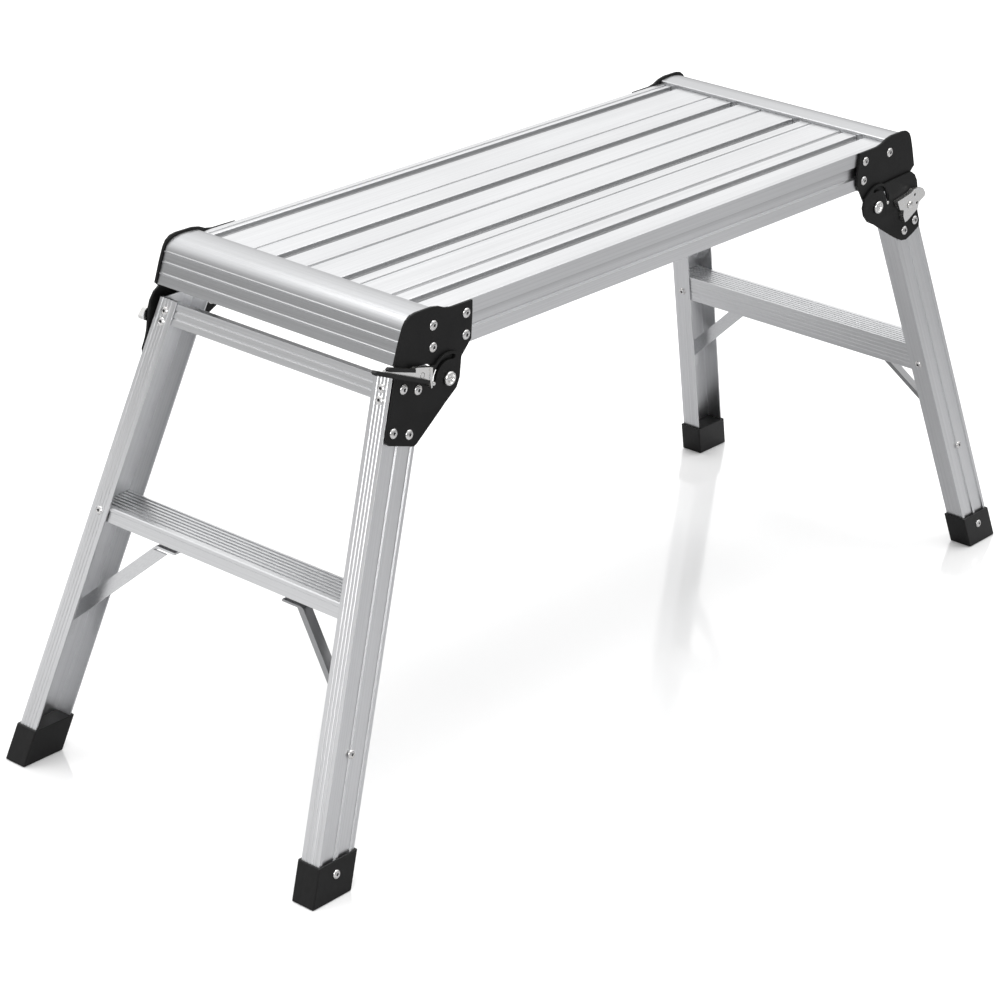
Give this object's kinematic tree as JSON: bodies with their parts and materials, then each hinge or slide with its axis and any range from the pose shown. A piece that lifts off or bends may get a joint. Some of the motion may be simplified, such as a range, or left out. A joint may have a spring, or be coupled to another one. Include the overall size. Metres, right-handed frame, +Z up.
{
  "type": "folding work platform bench",
  "caption": "Low folding work platform: a planked deck with rounded ends on splayed leg frames, each with a step, that fold in under the deck on locking hinges.",
  "frame": {"origin": "on the floor, under the centre of the deck", "axes": "+X along the deck, +Y across it, +Z up"},
  "size_m": [1.1362, 0.4118, 0.509],
  "materials": {
    "aluminium": "satin, extruded",
    "hinge_plate": "black powder coat, satin",
    "zinc": "bright zinc plate",
    "rubber": "matt"
  },
  "bodies": {
    "platform": {"deck_plank_1": "aluminium", "deck_plank_2": "aluminium", "deck_plank_3": "aluminium", "side_rail_front": "aluminium", "side_rail_back": "aluminium", "end_nosing_left": "aluminium", "end_nosing_right": "aluminium", "upper_hinge_plate_right_front": "hinge_plate", "pivot_bolt_right_front": "zinc", "stop_pin_right_front": "zinc", "upper_hinge_plate_right_back": "hinge_plate", "pivot_bolt_right_back": "zinc", "stop_pin_right_back": "zinc", "upper_hinge_plate_left_front": "hinge_plate", "pivot_bolt_left_front": "zinc", "stop_pin_left_front": "zinc", "upper_hinge_plate_left_back": "hinge_plate", "pivot_bolt_left_back": "zinc", "stop_pin_left_back": "zinc"},
    "leg_frame_right": {"cross_member_right": "aluminium", "step_right": "aluminium", "stile_right_front": "aluminium", "foot_right_front": "rubber", "step_brace_right_front": "aluminium", "leg_hinge_plate_right_front": "hinge_plate", "lock_pin_right_front": "zinc", "lock_spring_right_front": "zinc", "stile_right_back": "aluminium", "foot_right_back": "rubber", "step_brace_right_back": "aluminium", "leg_hinge_plate_right_back": "hinge_plate", "lock_pin_right_back": "zinc", "lock_spring_right_back": "zinc"},
    "lever_right_front": {"lock_lever_right_front": "zinc"},
    "lever_right_back": {"lock_lever_right_back": "zinc"},
    "leg_frame_left": {"cross_member_left": "aluminium", "step_left": "aluminium", "stile_left_front": "aluminium", "foot_left_front": "rubber", "step_brace_left_front": "aluminium", "leg_hinge_plate_left_front": "hinge_plate", "lock_pin_left_front": "zinc", "lock_spring_left_front": "zinc", "stile_left_back": "aluminium", "foot_left_back": "rubber", "step_brace_left_back": "aluminium", "leg_hinge_plate_left_back": "hinge_plate", "lock_pin_left_back": "zinc", "lock_spring_left_back": "zinc"},
    "lever_left_front": {"lock_lever_left_front": "zinc"},
    "lever_left_back": {"lock_lever_left_back": "zinc"}
  },
  "joints": [
    {"name": "fold_right", "type": "hinge", "parent": "platform", "child": "leg_frame_right", "pos_m": [0.3422, 0, 0.436], "axis": [0, 1, 0], "range_deg": [0, 92]},
    {"name": "unlock_right_front", "type": "hinge", "parent": "leg_frame_right", "child": "lever_right_front", "pos_m": [0.3965, -0.158, 0.427], "axis": [0, 1, 0], "range_deg": [0, 18], "stiffness_Nm_per_rad": 0.05, "springref_deg": -34.38},
    {"name": "unlock_right_back", "type": "hinge", "parent": "leg_frame_right", "child": "lever_right_back", "pos_m": [0.384, 0.158, 0.4516], "axis": [0, 1, 0], "range_deg": [0, 18], "stiffness_Nm_per_rad": 0.05, "springref_deg": -34.38},
    {"name": "fold_left", "type": "hinge", "parent": "platform", "child": "leg_frame_left", "pos_m": [-0.3422, 0, 0.436], "axis": [0, -1, 0], "range_deg": [0, 108]},
    {"name": "unlock_left_front", "type": "hinge", "parent": "leg_frame_left", "child": "lever_left_front", "pos_m": [-0.384, -0.158, 0.4516], "axis": [0, -1, 0], "range_deg": [0, 18], "stiffness_Nm_per_rad": 0.05, "springref_deg": -34.38},
    {"name": "unlock_left_back", "type": "hinge", "parent": "leg_frame_left", "child": "lever_left_back", "pos_m": [-0.3965, 0.158, 0.427], "axis": [0, -1, 0], "range_deg": [0, 18], "stiffness_Nm_per_rad": 0.05, "springref_deg": -34.38}
  ]
}
